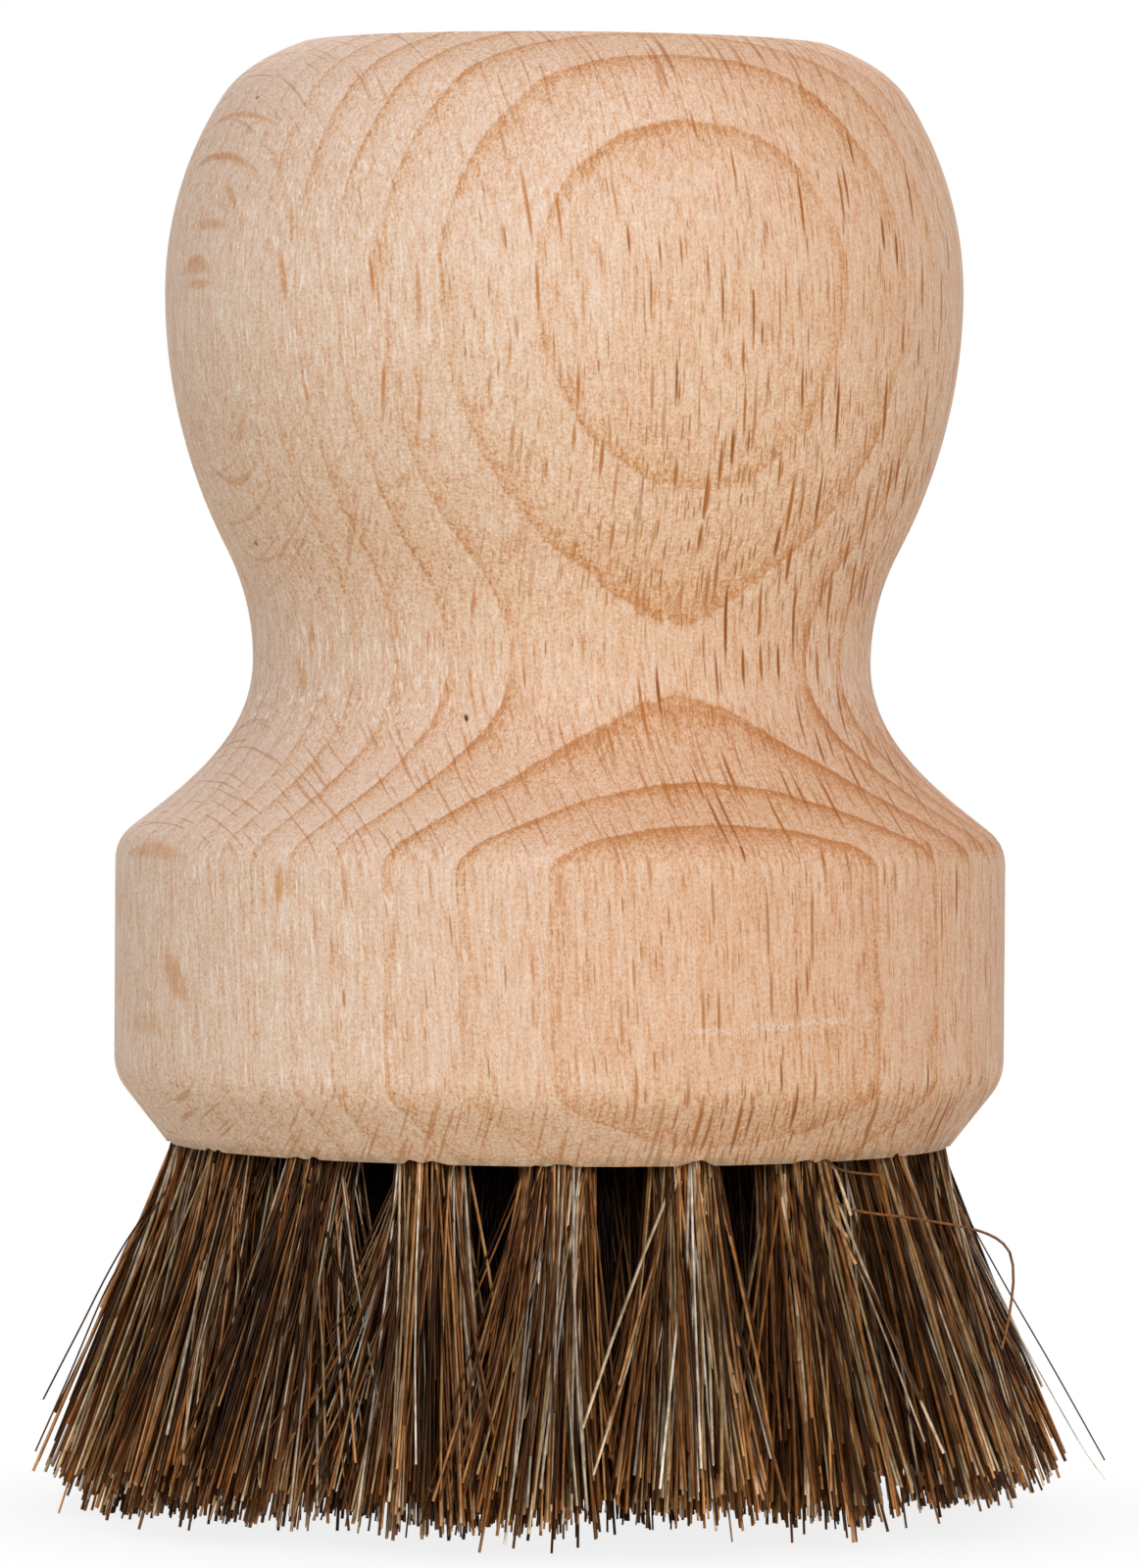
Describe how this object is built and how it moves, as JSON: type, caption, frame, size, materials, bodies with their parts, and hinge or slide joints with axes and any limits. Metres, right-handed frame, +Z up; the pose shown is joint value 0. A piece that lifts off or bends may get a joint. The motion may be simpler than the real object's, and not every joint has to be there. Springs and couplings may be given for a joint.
{
  "type": "sieve brush",
  "caption": "Palm-grip sieve brush with a turned beech handle and splayed rings of mixed horsehair tufts held by wire anchors.",
  "frame": {"origin": "on the turning axis, at the level of the trimmed bristle tips that the brush stands on", "axes": "+Z up along the turning axis to the handle's flat top, -Y towards the viewer of the picture, +X to the right"},
  "size_m": [0.0562, 0.0568, 0.0826],
  "materials": {
    "beech": "untreated, finely turned and sanded",
    "horsehair": "natural mixed dark horsehair, slightly glossy",
    "anchor_wire": "plain drawn flat wire"
  },
  "bodies": {
    "root": {"handle": "beech", "tufts_outer_ring": "horsehair", "tufts_middle_ring": "horsehair", "tufts_inner_ring": "horsehair", "tuft_centre": "horsehair", "anchor_centre": "anchor_wire", "anchor_inner_01": "anchor_wire", "anchor_inner_02": "anchor_wire", "anchor_inner_03": "anchor_wire", "anchor_inner_04": "anchor_wire", "anchor_inner_05": "anchor_wire", "anchor_inner_06": "anchor_wire", "anchor_middle_01": "anchor_wire", "anchor_middle_02": "anchor_wire", "anchor_middle_03": "anchor_wire", "anchor_middle_04": "anchor_wire", "anchor_middle_05": "anchor_wire", "anchor_middle_06": "anchor_wire", "anchor_middle_07": "anchor_wire", "anchor_middle_08": "anchor_wire", "anchor_middle_09": "anchor_wire", "anchor_middle_10": "anchor_wire", "anchor_middle_11": "anchor_wire", "anchor_middle_12": "anchor_wire", "anchor_outer_01": "anchor_wire", "anchor_outer_02": "anchor_wire", "anchor_outer_03": "anchor_wire", "anchor_outer_04": "anchor_wire", "anchor_outer_05": "anchor_wire", "anchor_outer_06": "anchor_wire", "anchor_outer_07": "anchor_wire", "anchor_outer_08": "anchor_wire", "anchor_outer_09": "anchor_wire", "anchor_outer_10": "anchor_wire", "anchor_outer_11": "anchor_wire", "anchor_outer_12": "anchor_wire", "anchor_outer_13": "anchor_wire", "anchor_outer_14": "anchor_wire", "anchor_outer_15": "anchor_wire", "anchor_outer_16": "anchor_wire", "anchor_outer_17": "anchor_wire", "anchor_outer_18": "anchor_wire"}
  },
  "joints": []
}
